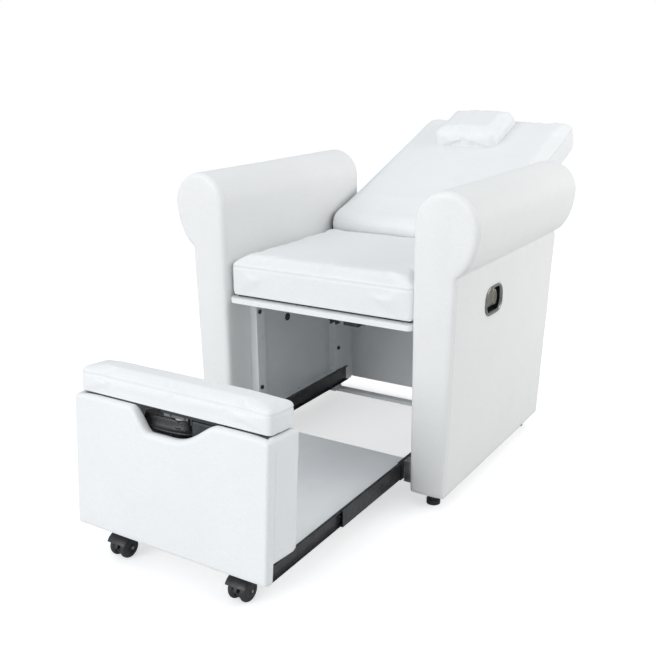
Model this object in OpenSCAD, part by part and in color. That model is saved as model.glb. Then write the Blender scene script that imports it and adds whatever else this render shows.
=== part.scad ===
// Pedicure spa chair: upholstered armchair with a reclining back and a pull-out footrest drawer.
// Millimetres, +Z up, the chair faces -Y. The origin is on the floor in the middle of the whole footprint.

/* [Seat] */
// Clear width between the two arms
seat_w = 540; // [520:1:580]
// Height of the seat cushion's top
seat_h = 556; // [550:1:562]
// Thickness of the seat cushion
cushion_t = 95; // [85:1:95]
// Length of the seat cushion, front to back
cushion_l = 490; // [480:1:490]

/* [Arms] */
// Depth of the arms at the roll
arm_depth = 689; // [689:1:720]
// Radius of the arm roll's top
roll_r = 78; // [70:1:84]
// Height of the arm roll's centre
roll_h = 695; // [680:1:710]
// Thickness of the arm at its foot
arm_foot_t = 91; // [88:1:96]
// Height of the underside of the arms
arm_z = 35; // [35:1:38]

/* [Backrest] */
// Angle of the back above the horizontal, as stored
back_angle = 20; // [20:1:20]
// Length of the back from its pivot to its top edge
back_len = 694; // [660:1:720]
// Thickness of the back
back_t = 92; // [92:1:92]
// Width of the back
back_w = 524; // [520:1:524]

/* [Footrest drawer] */
// Distance that the drawer front stands ahead of the arms
drawer_out = 571; // [571:1:571]
// Width of the footrest box
box_w = 511; // [500:1:514]
// Height of the footrest box
box_h = 288; // [280:1:288]
// Depth of the footrest box
box_d = 105; // [105:1:105]
// Backward lean of the footrest box, in degrees
box_lean = 4.4; // [4.4:0.1:4.4]

/* [Slides] */
// Length of each slide member
slide_l = 559; // [559:1:559]
// Travel of the drawer
slide_travel = 536; // [536:1:536]
// Height of the slides' centre line
slide_z = 80.5; // [80:0.5:81]

/* [Casters] */
// Radius of the caster wheels
wheel_r = 25; // [25:1:25]

/* [Hidden] */
$fn = 48;

leatherette = "#f2f4f5";
leatherette_side = "#e6e5e3";
white_paint = "#e9ecee";
black_steel = "#1c2022";
black_plastic = "#24282a";
zinc = "#b9bdc0";
bright_chrome = "#d9dcde";

half_seat = seat_w / 2;

// Pivot of the back, measured from the front plane of the arms and from the floor
pivot_dy = 547;
pivot_z = 568;
back_end_r = 25;

// The footprint runs from the drawer front to the top edge of the back, and the origin is in its middle
reach = pivot_dy + (back_len - back_end_r) * cos(back_angle)
    + (back_t / 2 - back_end_r) * sin(back_angle) + back_end_r;
front = (drawer_out - reach) / 2;
pivot_y = front + pivot_dy;

// Arm outline
roll_x = half_seat + roll_r;
neck_x = roll_x + 28;
neck_drop = 124;
neck_turn = acos((neck_x - roll_x) / roll_r);
neck_z = roll_h - neck_drop * sin(neck_turn);
foot_x = half_seat + arm_foot_t;
arm_foot_depth = arm_depth - 28;
rear_lean = (arm_depth - arm_foot_depth) / (neck_z - arm_z);

// Inner frame
panel_t = 4;
panel_y0 = front + 97;
panel_y1 = front + 640;
frame_top = seat_h - cushion_t - 20;
rail_h = 26;
post_w = 24;
post_d = 36;
post_wall = 2;
post_in = half_seat - post_w;
front_post_y = front + 97;
rear_post_y = front + 501;
post_foot_z = 34;
lower_rail_z = 80;

// Seat
board_t = 14;
base_t = 6;
seat_y0 = front + 9;

// Slides
slide_t = 12.7;
slide_wall = 1.2;
slide_x0 = post_in - slide_t;
slide_y = front + 5;
slide_rest_y = front - 540;

// Release handle on the right arm
handle_y = front + 240;
handle_z = 480;
cup_floor_x = 338;
flange_x = 369;
cup_w = 100;
cup_h = 66;
cup_r = 28;
flange_w = 108;
flange_h = 74;
flange_r = 31;
shell = 3;
lever_pin_x = 357;
lever_pin_y = handle_y - 22;
lever_pin_r = 2.5;

// Recline linkage under the seat
crank_x = -30;
crank_drop = 173;
crank_swing = 25;
crank_reach = crank_drop / cos(crank_swing);
spring_z = pivot_z - crank_drop;
spring_pin_y = pivot_y - crank_drop * tan(crank_swing);
spring_pin_r = 5;
spring_mount_y = front + 152;
spring_r = 13;

// Drawer and footrest box
board_z0 = 66;
board_z1 = 82;
base_half = slide_x0 - 0.5;
box_y = front - drawer_out;
box_z = 77;
half_box = box_w / 2;
panel_front_t = 22;
panel_side_t = 18;
scoop_deep = 36;
scoop_left = [-98, -46];
scoop_right = [132, 8];
collar_x = [-78, 14];
column_y = 54.5;
pad_half = 253.5;
pad_y0 = 12;
pad_y1 = 100;
pad_z0 = 301;
pad_z1 = 358;
paddle_pin_y = 33;
paddle_pin_z = 284;
paddle_pin_r = 2.5;

// Casters
caster_x = 163.5;
swivel_y = front - 508;
axle_y = swivel_y - 20;
axle_r = 3;

running_gap = 0.05;

// ---- shared shapes ----

// Block between two opposite corners
module block(low, high) {
    translate(low) cube(high - low);
}

// Child outline, drawn as (Y, Z), made into a plate that spans x0 to x1
module plate_x(x0, x1) {
    translate([x0, 0, 0]) rotate([90, 0, 90]) linear_extrude(x1 - x0) children();
}

// Child outline, drawn as (X, Z), made into a slab that spans y0 to y1
module plate_y(y0, y1) {
    translate([0, y1, 0]) rotate([90, 0, 0]) linear_extrude(y1 - y0) children();
}

// Round bar along X
module bar_x(x0, x1, r, y = 0, z = 0) {
    translate([x0, y, z]) rotate([0, 90, 0]) cylinder(h = x1 - x0, r = r);
}

// Round bar along Y
module bar_y(y0, y1, r, x = 0, z = 0) {
    translate([x, y1, z]) rotate([90, 0, 0]) cylinder(h = y1 - y0, r = r);
}

// The child and its mirror image on the other side of the chair
module both_sides() {
    children();
    mirror([1, 0, 0]) children();
}

// Rectangle with round corners, centred
module round_rect(w, h, r) {
    square([w - 2 * r, h], center = true);
    square([w, h - 2 * r], center = true);
    for (sx = [-1, 1], sy = [-1, 1])
        translate([sx * (w / 2 - r), sy * (h / 2 - r)]) circle(r);
}

// Frame of the back: +Y up along the back, +Z out of its front face, origin on the pivot
module in_back() {
    translate([0, pivot_y, pivot_z]) rotate([back_angle, 0, 0]) children();
}

// Frame of the footrest box: +Y rearwards, +Z up its front face, origin at the front's lower edge
module in_box() {
    translate([0, box_y, box_z]) rotate([-box_lean, 0, 0]) children();
}

// ---- arms and inner frame ----

function roll_arc() = [for (a = [180 : -10 : 0]) [roll_x + roll_r * cos(a), roll_h + roll_r * sin(a)]];

function neck_arc() = [
    for (i = [1 : 8])
        let (a = i / 8 * neck_turn) [roll_x + roll_r * cos(a), roll_h - neck_drop * sin(a)]
];

// Upholstered arm, drawn for the right side: slab with a roll along its top and a leaning rear edge
module arm_solid() {
    difference() {
        plate_y(front, front + arm_depth)
            polygon(concat([[half_seat, arm_z]], roll_arc(), neck_arc(), [[foot_x, arm_z]]));
        plate_x(half_seat - 1, foot_x + 2 * roll_r) polygon([
            [front + arm_foot_depth, arm_z - 1],
            [front + arm_depth + 1, arm_z - 1],
            [front + arm_depth + 1, neck_z + rear_lean],
            [front + arm_depth, neck_z]
        ]);
        block([half_seat - 1, panel_y0, arm_z - 1], [half_seat + panel_t, panel_y1, frame_top]);
    }
}

module arm_left() {
    color(leatherette) mirror([1, 0, 0]) arm_solid();
}

module handle_outline_x(x0, x1, w, h, r) {
    plate_x(x0, x1) translate([handle_y, handle_z]) round_rect(w, h, r);
}

// Places of the two screws that hold the handle cup
module at_handle_screws() {
    for (dz = [-14, 14]) translate([cup_floor_x, handle_y - 38, handle_z + dz]) children();
}

module arm_right() {
    color(leatherette) difference() {
        arm_solid();
        handle_outline_x(cup_floor_x, foot_x + roll_r, cup_w, cup_h, cup_r);
        handle_outline_x(flange_x, foot_x + roll_r, flange_w, flange_h, flange_r);
        at_handle_screws() bar_x(-15, 1, 2);
    }
}

module inner_panels() {
    color(white_paint) both_sides()
        block([half_seat, panel_y0, arm_z], [half_seat + panel_t, panel_y1, frame_top]);
}

module post(y) {
    difference() {
        block([post_in, y, post_foot_z], [half_seat, y + post_d, frame_top - rail_h]);
        block([post_in + post_wall, y + post_wall, post_foot_z - 1],
              [half_seat - post_wall, y + post_d - post_wall, frame_top - rail_h - post_wall]);
    }
}

module front_posts() {
    color(white_paint) both_sides() post(front_post_y);
}

module rear_posts() {
    color(white_paint) both_sides() post(rear_post_y);
}

module seat_rails() {
    color(white_paint) both_sides()
        block([post_in, front_post_y, frame_top - rail_h], [half_seat, rear_post_y + post_d, frame_top]);
}

module lower_rails() {
    color(white_paint) both_sides()
        block([post_in, front_post_y + post_d, lower_rail_z], [half_seat, rear_post_y, lower_rail_z + post_w]);
}

module seat_crossbars() {
    color(white_paint) for (y = [front + 100, front + 404])
        block([-post_in, y, frame_top - rail_h], [post_in, y + 24, frame_top]);
}

module rear_floor_bar() {
    color(white_paint) block([-post_in, front + 508, post_foot_z], [post_in, front + 533, post_foot_z + 10]);
}

module back_panel() {
    panel_foot = 37;
    panel_top = 510;
    thick = 14;
    outer_foot = front + arm_foot_depth + (panel_foot - arm_z) * rear_lean;
    outer_top = front + arm_foot_depth + (panel_top - arm_z) * rear_lean;
    color(white_paint) plate_x(-half_seat, half_seat) polygon([
        [outer_foot - thick, panel_foot],
        [outer_foot, panel_foot],
        [outer_top, panel_top],
        [outer_top - thick, panel_top]
    ]);
}

module frame_bolts() {
    head_r = 6;
    color(black_plastic) both_sides()
        for (y = [front_post_y + 13, rear_post_y + 18], z = [175, 393])
            bar_x(post_in - 3.5, post_in, head_r, y, z);
}

module panel_caps() {
    color(black_plastic) both_sides() bar_x(half_seat - 2.5, half_seat, 11, front + 276, 334);
}

module arm_glides() {
    color(black_plastic) both_sides() for (y = [front + 45, front + 615]) translate([316, y, 0]) {
        cylinder(h = 12, r = 17);
        cylinder(h = arm_z, r = 14);
    }
}

// ---- seat ----

module seat_board() {
    color(white_paint) translate([0, front + 242, frame_top])
        linear_extrude(board_t) round_rect(2 * half_seat - 8, 472, 16);
}

module cushion_base() {
    color(black_plastic) block([18 - half_seat, seat_y0 + 20, frame_top + board_t],
                               [half_seat - 18, front + 466, frame_top + board_t + base_t]);
}

module seat_cushion() {
    color(leatherette) translate([0, seat_y0 + cushion_l / 2, frame_top + board_t + base_t])
        linear_extrude(cushion_t) round_rect(seat_w - 6, cushion_l, 18);
}

// ---- slides ----

// One channel of a slide, drawn for the right side, webbed on its outer or inner face
module channel(x0, x1, half_h, y0, web_outside) {
    web_x = web_outside ? x1 - slide_wall : x0;
    block([web_x, y0, slide_z - half_h], [web_x + slide_wall, y0 + slide_l, slide_z + half_h]);
    for (z = [slide_z - half_h, slide_z + half_h - slide_wall])
        block([x0, y0, z], [x1, y0 + slide_l, z + slide_wall]);
}

module slide_outers() {
    color(black_steel) both_sides() channel(post_in - 11, post_in, 22.5, slide_y, true);
}

module slide_middle() {
    channel(post_in - 9.5, post_in - 1.6, 20.8, (slide_y + slide_rest_y) / 2, true);
}

module slide_inners() {
    color(black_steel) both_sides() channel(slide_x0, post_in - 4.5, 17.5, slide_rest_y, false);
}

module slide_middle_left() {
    color(black_steel) mirror([1, 0, 0]) slide_middle();
}

module slide_middle_right() {
    color(black_steel) slide_middle();
}

module slide_brackets() {
    color(zinc) both_sides() difference() {
        block([post_in, front + 20, 50], [half_seat, front + 46, 106]);
        block([post_in + 2, front + 19, 52], [half_seat - 2, front + 44, 104]);
    }
}

module slide_screws() {
    color(zinc) both_sides() for (y = [slide_rest_y + 14, slide_rest_y + 280, slide_rest_y + 540])
        bar_x(slide_x0 + slide_wall, slide_x0 + slide_wall + 2, 4, y, slide_z);
}

// ---- release handle in the right arm ----

module handle_bezel() {
    color(bright_chrome) difference() {
        handle_outline_x(flange_x, flange_x + 8, flange_w, flange_h, flange_r);
        handle_outline_x(flange_x - 1, flange_x + 9, cup_w - 2 * shell, cup_h - 2 * shell, cup_r - shell);
    }
}

module handle_cup() {
    color(black_plastic) difference() {
        handle_outline_x(cup_floor_x, flange_x, cup_w, cup_h, cup_r);
        handle_outline_x(cup_floor_x + shell, flange_x + 1, cup_w - 2 * shell, cup_h - 2 * shell, cup_r - shell);
        at_handle_screws() bar_x(-1, shell + 1, 2);
        translate([lever_pin_x, lever_pin_y, handle_z - cup_h]) cylinder(h = 2 * cup_h, r = lever_pin_r);
    }
}

module handle_screws() {
    color(bright_chrome) at_handle_screws() {
        bar_x(shell, shell + 3, 4.5);
        bar_x(-14, shell, 2);
    }
}

module handle_pin() {
    pin_h = cup_h - 2;
    color(zinc) translate([lever_pin_x, lever_pin_y, handle_z - pin_h / 2]) cylinder(h = pin_h, r = lever_pin_r);
}

module release_lever() {
    color(zinc) difference() {
        union() {
            translate([lever_pin_x, lever_pin_y, handle_z - 22]) cylinder(h = 44, r = 6);
            plate_x(lever_pin_x - 4, lever_pin_x + 3)
                translate([lever_pin_y + 24, handle_z]) round_rect(48, 44, 10);
        }
        translate([lever_pin_x, lever_pin_y, handle_z - 30]) cylinder(h = 60, r = lever_pin_r + running_gap);
    }
}

// ---- backrest ----

module hinge_plates() {
    top_r = 22;
    color(black_steel) both_sides() difference() {
        plate_x(half_seat - 6.5, half_seat - 2.5) {
            translate([pivot_y, pivot_z]) circle(top_r);
            polygon([
                [rear_post_y + 2, frame_top],
                [rear_post_y + post_d, frame_top],
                [pivot_y + top_r, pivot_z],
                [pivot_y - top_r, pivot_z]
            ]);
        }
        bar_x(half_seat - 10, half_seat, 6, pivot_y, pivot_z);
    }
}

module hinge_pins() {
    color(zinc) both_sides() bar_x(half_seat - 28, half_seat - 2.5, 6, pivot_y, pivot_z);
}

module side_plate_outline(r) {
    circle(r);
    translate([0, -0.7 * r]) square([4.4 * r, 1.4 * r]);
}

module back_side_plates() {
    color(black_steel) in_back() both_sides() difference() {
        plate_x(back_w / 2 - 4.2, back_w / 2 - 0.3) side_plate_outline(28);
        bar_x(back_w / 2 - 6, back_w / 2, 6 + running_gap);
    }
}

module back_outline() {
    half_t = back_t / 2;
    circle(half_t);
    translate([0, -half_t]) square([back_len - back_end_r, back_t]);
    translate([back_len - back_end_r, 0]) {
        translate([0, back_end_r - half_t]) square([back_end_r, back_t - 2 * back_end_r]);
        for (s = [-1, 1]) translate([0, s * (half_t - back_end_r)]) circle(back_end_r);
    }
}

// Stretch of the back that its board fills
module back_board_block(slack) {
    block([-250 - slack, 12 - slack, -back_t / 2 - slack], [250 + slack, 676 + slack, -31 + slack]);
}

module back_board() {
    color(white_paint) in_back() back_board_block(0);
}

module back_cushion() {
    color(leatherette) in_back() difference() {
        plate_x(-back_w / 2, back_w / 2) back_outline();
        block([-250, 12, -back_t], [250, 676, -31]);
        both_sides() {
            plate_x(back_w / 2 - 4.5, back_w / 2 + 1) side_plate_outline(30);
            bar_x(back_w / 2 - 22, back_w / 2, 7.5);
        }
        bar_x(-back_w / 2 - 1, 6 - back_w / 2, 4, 505, -10);
    }
}

module side_peg() {
    color("#a9a49c") in_back() {
        bar_x(-back_w / 2 - 12, 6 - back_w / 2, 4, 505, -10);
        bar_x(-back_w / 2 - 18, -back_w / 2 - 12, 9, 505, -10);
    }
}

module headrest_pillow() {
    lift = back_t / 2 + 0.4;
    color(leatherette) in_back() plate_x(-136, 84) hull() {
        translate([466, lift + 38]) circle(22);
        translate([604, lift + 33]) circle(24);
        translate([446, lift]) square([204, 10]);
    }
}

// Slotted arm that carries the gas spring's pin round the pivot
module crank_arm_outline() {
    slot_r = 7.6;
    rim = 7;
    tip = [-crank_reach * sin(45), -crank_reach * sin(45)];
    difference() {
        union() {
            polygon([[15, -back_t / 2 - 4], [80, -back_t / 2 - 4], tip + [8, -12], tip + [-8, 25]]);
            rotate([0, 0, 225]) {
                translate([crank_drop - 1, 0]) circle(slot_r + rim);
                translate([crank_reach + 1, 0]) circle(slot_r + rim);
                translate([crank_drop - 1, -slot_r - rim])
                    square([crank_reach - crank_drop + 2, 2 * (slot_r + rim)]);
            }
        }
        rotate([0, 0, 225]) {
            translate([crank_drop - 1, 0]) circle(slot_r);
            translate([crank_reach + 1, 0]) circle(slot_r);
            translate([crank_drop - 1, -slot_r]) square([crank_reach - crank_drop + 2, 2 * slot_r]);
        }
    }
}

module recline_crank() {
    color(black_steel) in_back() {
        block([crank_x - 24, 15, -back_t / 2 - 4], [crank_x + 24, 80, -back_t / 2]);
        for (x = [crank_x - 11, crank_x + 7]) plate_x(x, x + 4) crank_arm_outline();
    }
}

// ---- gas spring under the seat ----

module spring_mount() {
    color(black_steel) difference() {
        union() {
            block([-50, spring_mount_y - 22, frame_top - 4], [56, spring_mount_y + 24, frame_top]);
            for (x = [crank_x - 10, crank_x + 6])
                block([x, spring_mount_y - 12, spring_z - 13], [x + 4, spring_mount_y + 12, frame_top - 4]);
            block([2, spring_mount_y - 10, spring_z + 13], [40, spring_mount_y + 10, frame_top - 4]);
        }
        bar_x(crank_x - 20, crank_x + 20, 4, spring_mount_y, spring_z);
    }
}

module spring_bolt() {
    color(bright_chrome) {
        bar_x(crank_x - 14, crank_x + 14, 4, spring_mount_y, spring_z);
        bar_x(crank_x - 18, crank_x - 10, 8, spring_mount_y, spring_z);
        bar_x(crank_x + 10, crank_x + 16, 8, spring_mount_y, spring_z);
    }
}

module spring_release_head() {
    color(black_plastic) {
        block([2, spring_mount_y - 11, spring_z - 11], [46, spring_mount_y + 11, spring_z + 13]);
        bar_x(46, 60, 6, spring_mount_y, spring_z);
    }
}

module gas_spring_cylinder() {
    gland_y = front + 400;
    color(black_steel) difference() {
        union() {
            bar_y(spring_mount_y + 16, gland_y, spring_r, crank_x, spring_z);
            bar_x(crank_x - 5.5, crank_x + 5.5, 10, spring_mount_y, spring_z);
            block([crank_x - 5.5, spring_mount_y, spring_z - 7], [crank_x + 5.5, spring_mount_y + 20, spring_z + 7]);
        }
        bar_x(crank_x - 10, crank_x + 10, 4, spring_mount_y, spring_z);
        bar_y(spring_mount_y + 24, gland_y - 8, spring_r - 2.5, crank_x, spring_z);
        bar_y(gland_y - 9, gland_y + 1, 5 + running_gap, crank_x, spring_z);
    }
}

module gas_spring_rod() {
    color(bright_chrome) {
        bar_y(front + 200, spring_pin_y, 5, crank_x, spring_z);
        bar_y(front + 200, front + 212, 10, crank_x, spring_z);
        bar_x(crank_x - 6, crank_x + 6, 10, spring_pin_y, spring_z);
        bar_x(crank_x - 14, crank_x + 14, spring_pin_r, spring_pin_y, spring_z);
    }
}

// ---- drawer and footrest box ----

module base_board() {
    color(white_paint) block([-base_half, front - 548, board_z0], [base_half, front + 80, board_z1]);
}

// One smooth flank of the finger scoop in the top edge of the box front, down from its rim at x0
function scoop_flank(x0, x1) = [
    for (i = [0 : 10])
        let (t = i / 10)
        [x0 + (x1 - x0) * t, box_h - scoop_deep * (1 - cos(180 * t)) / 2]
];

module box_front_panel() {
    color(leatherette) in_box() plate_y(0, panel_front_t) polygon(concat(
        [[half_box, 0], [-half_box, 0], [-half_box, box_h]],
        scoop_flank(scoop_left[0], scoop_left[1]),
        [for (i = [10 : -1 : 0]) scoop_flank(scoop_right[0], scoop_right[1])[i]],
        [[half_box, box_h]]
    ));
}

module box_side_panels() {
    color(leatherette_side) in_box() both_sides()
        block([half_box - panel_side_t, panel_front_t, 38], [half_box, box_d - panel_side_t, box_h]);
}

module box_rear_panel() {
    color(leatherette_side) in_box() plate_y(box_d - panel_side_t, box_d) {
        translate([-half_box, 41]) square([box_w, box_h - 41]);
        translate([2 - base_half, 14]) square([2 * base_half - 4, 30]);
    }
}

module lift_tube() {
    color(black_steel) in_box() translate([0, column_y, 0]) difference() {
        union() {
            translate([0, 0, 11.7]) cylinder(h = 4, r = 30);
            translate([0, 0, 11.7]) cylinder(h = 250.3, r = 20);
        }
        translate([0, 0, 20]) cylinder(h = 300, r = 17 + running_gap);
    }
}

module collar_outline(inset) {
    r = 29.5 - inset;
    for (x = collar_x) translate([x, column_y]) circle(r);
    translate([collar_x[0], column_y - r]) square([collar_x[1] - collar_x[0], 2 * r]);
}

module lift_collar() {
    color(black_plastic) in_box() difference() {
        union() {
            translate([0, 0, 250]) linear_extrude(8) collar_outline(0);
            translate([0, 0, 258]) linear_extrude(10) collar_outline(4);
            translate([0, 0, 268]) linear_extrude(10) collar_outline(8);
        }
        translate([0, column_y, 240]) cylinder(h = 22, r = 20);
        translate([0, column_y, 240]) cylinder(h = 50, r = 17.4);
    }
}

module lift_piston_tube() {
    color(bright_chrome) in_box() translate([0, column_y, 40]) difference() {
        cylinder(h = 255, r = 17);
        translate([0, 0, -1]) cylinder(h = 250, r = 14);
    }
}

module pad_clamp() {
    color(bright_chrome) in_box() difference() {
        union() {
            block([-28, 30, 284], [36, 80, 291]);
            for (x = [-12, 26]) bar_y(28, 30, 3, x, 287.5);
        }
        translate([0, column_y, 280]) cylinder(h = 20, r = 17);
    }
}

module pad_mount_plate() {
    color(black_steel) in_box() difference() {
        union() {
            block([-32, 27, 291], [127, 84, pad_z0]);
            for (x = [44, 123])
                block([x, paddle_pin_y - 5, paddle_pin_z - 6], [x + 4, paddle_pin_y + 5, 291]);
            bar_x(44, 127, paddle_pin_r, paddle_pin_y, paddle_pin_z);
        }
        translate([0, column_y, 280]) cylinder(h = 15, r = 17);
    }
}

module pad_board() {
    color(white_paint) in_box() block([-236, pad_y0 + 10, pad_z0], [236, pad_y1 - 10, pad_z0 + 12]);
}

module pad_cushion() {
    color(leatherette) in_box() difference() {
        block([-pad_half, pad_y0, pad_z0], [pad_half, pad_y1, pad_z1]);
        block([-236, pad_y0 + 10, pad_z0 - 1], [236, pad_y1 - 10, pad_z0 + 12]);
    }
}

module pad_paddle() {
    color("#3c4145") in_box() difference() {
        union() {
            bar_x(49, 122, 5, paddle_pin_y, paddle_pin_z);
            block([49, paddle_pin_y - 5, 254], [122, paddle_pin_y - 1, paddle_pin_z]);
        }
        bar_x(40, 130, paddle_pin_r + running_gap, paddle_pin_y, paddle_pin_z);
    }
}

// ---- casters ----

module at_caster(side) {
    translate([side * caster_x, 0, 0]) children();
}

// Stem, hood and axle carrier of one twin-wheel caster
module caster_fork() {
    hood_r = wheel_r + 4;
    hub_half = 5;
    hood_half = 27;
    difference() {
        union() {
            bar_x(-hub_half, hub_half, wheel_r - 3, axle_y, wheel_r);
            bar_x(-hood_half, hood_half, hood_r, axle_y, wheel_r);
            translate([0, swivel_y, wheel_r + 12]) cylinder(h = board_z0 - 4 - wheel_r - 12, r = 9);
            translate([0, swivel_y, board_z0 - 4]) cylinder(h = 4, r = 20);
        }
        for (x = [-hood_half - 1, hub_half])
            bar_x(x, x + hood_half - hub_half + 1, wheel_r + 1.5, axle_y, wheel_r);
        bar_x(-30, 30, axle_r, axle_y, wheel_r);
        block([-30, axle_y - 40, -10], [-hub_half, axle_y + 40, wheel_r + 2]);
        block([hub_half, axle_y - 40, -10], [30, axle_y + 40, wheel_r + 2]);
        block([-30, axle_y - 40, -10], [30, axle_y + 40, 4]);
        block([-30, axle_y - 40, -10], [30, axle_y - 22, wheel_r + 2]);
    }
}

module caster_axle() {
    bar_x(-26, 26, axle_r, axle_y, wheel_r);
}

// One wheel of a caster, on the outward side of its fork when side is +1
module caster_wheel(side) {
    mirror([side > 0 ? 0 : 1, 0, 0]) difference() {
        bar_x(6, 25.5, wheel_r, axle_y, wheel_r);
        bar_x(21, 27, wheel_r - 5, axle_y, wheel_r);
        bar_x(5, 30, axle_r + running_gap, axle_y, wheel_r);
    }
}

module caster_fork_left() {
    color(black_plastic) at_caster(-1) caster_fork();
}

module caster_fork_right() {
    color(black_plastic) at_caster(1) caster_fork();
}

module caster_axle_left() {
    color(zinc) at_caster(-1) caster_axle();
}

module caster_axle_right() {
    color(zinc) at_caster(1) caster_axle();
}

module wheel_left_outer() {
    color(black_plastic) at_caster(-1) caster_wheel(-1);
}

module wheel_left_inner() {
    color(black_plastic) at_caster(-1) caster_wheel(1);
}

module wheel_right_inner() {
    color(black_plastic) at_caster(1) caster_wheel(-1);
}

module wheel_right_outer() {
    color(black_plastic) at_caster(1) caster_wheel(1);
}

arm_left();
arm_right();
inner_panels();
front_posts();
rear_posts();
seat_rails();
lower_rails();
seat_crossbars();
rear_floor_bar();
back_panel();
seat_board();
cushion_base();
seat_cushion();
frame_bolts();
panel_caps();
arm_glides();
slide_brackets();
slide_outers();
slide_middle_left();
slide_middle_right();
slide_inners();
slide_screws();
handle_bezel();
handle_cup();
handle_screws();
handle_pin();
release_lever();
hinge_plates();
hinge_pins();
back_side_plates();
back_board();
back_cushion();
side_peg();
headrest_pillow();
recline_crank();
spring_mount();
spring_bolt();
spring_release_head();
gas_spring_cylinder();
gas_spring_rod();
base_board();
box_front_panel();
box_side_panels();
box_rear_panel();
lift_tube();
lift_collar();
lift_piston_tube();
pad_clamp();
pad_mount_plate();
pad_board();
pad_cushion();
pad_paddle();
caster_fork_left();
caster_fork_right();
caster_axle_left();
caster_axle_right();
wheel_left_outer();
wheel_left_inner();
wheel_right_inner();
wheel_right_outer();
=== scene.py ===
import math

import bmesh
import bpy
import numpy as np
from mathutils import Matrix, Vector
from mathutils.bvhtree import BVHTree
from mathutils.kdtree import KDTree
from mathutils.noise import noise


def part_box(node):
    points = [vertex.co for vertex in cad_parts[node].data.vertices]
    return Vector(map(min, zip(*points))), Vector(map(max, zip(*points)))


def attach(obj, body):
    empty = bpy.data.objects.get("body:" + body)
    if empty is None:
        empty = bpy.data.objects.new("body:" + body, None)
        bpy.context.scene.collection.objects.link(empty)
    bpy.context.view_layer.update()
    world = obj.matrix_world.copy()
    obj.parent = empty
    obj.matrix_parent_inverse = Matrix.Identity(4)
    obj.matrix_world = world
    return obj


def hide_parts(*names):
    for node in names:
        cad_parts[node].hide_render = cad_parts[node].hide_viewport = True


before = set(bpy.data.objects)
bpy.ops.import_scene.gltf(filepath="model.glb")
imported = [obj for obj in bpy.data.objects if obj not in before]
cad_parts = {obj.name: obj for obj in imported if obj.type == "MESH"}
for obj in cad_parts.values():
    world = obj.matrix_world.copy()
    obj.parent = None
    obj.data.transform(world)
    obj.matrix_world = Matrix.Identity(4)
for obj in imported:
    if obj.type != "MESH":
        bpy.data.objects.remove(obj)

scene = bpy.context.scene
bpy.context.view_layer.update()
MM = 0.001

# ---------------- places taken from the CAD nodes

arm_lo, arm_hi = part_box("arm_right")
front_y = arm_lo.y
half_seat = arm_lo.x
roll_r = (arm_hi.x - arm_lo.x) / 2
roll_x = half_seat + roll_r
roll_z = arm_hi.z - roll_r
arm_depth = arm_hi.y - arm_lo.y
seat_lo, seat_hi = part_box("seat_cushion")
pin_lo, pin_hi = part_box("hinge_pins")
pivot = (pin_lo + pin_hi) / 2
BACK_ANGLE = math.radians(20)
BACK_LEN, BACK_HALF_T, BACK_END_R = 0.694, 0.046, 0.025
back_half_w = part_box("back_cushion")[1].x
BOX_LEAN = math.radians(4.4)
box_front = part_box("box_front_panel")
HALF_BOX = box_front[1].x
BOX_FOOT_Z = 0.077
BOX_H, BOX_D, FRONT_T, SIDE_T = 0.288, 0.105, 0.022, 0.018


def row_point(x, y, z):
    return (x, y, z)


def across_x(u, v, w):
    """Place for an outline drawn in y and z and pushed along x."""
    return (w, u, v)


def back_point(x, along, out):
    """Point of the back, from its pivot: along the back, and out of its front face."""
    c, s = math.cos(BACK_ANGLE), math.sin(BACK_ANGLE)
    return (x, pivot.y + along * c - out * s, pivot.z + along * s + out * c)


def box_point(x, y, z):
    """Point of the footrest box, from the lower front edge: rearwards, and up its front face."""
    c, s = math.cos(BOX_LEAN), math.sin(BOX_LEAN)
    return (x, box_front[0].y + y * c + z * s, BOX_FOOT_Z - y * s + z * c)


# ---------------- materials

def new_material(name):
    m = bpy.data.materials.new(name)
    m.use_nodes = True
    nodes = m.node_tree.nodes
    nodes.clear()
    out = nodes.new("ShaderNodeOutputMaterial")
    shader = nodes.new("ShaderNodeBsdfPrincipled")
    m.node_tree.links.new(shader.outputs[0], out.inputs[0])
    return m, shader


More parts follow.
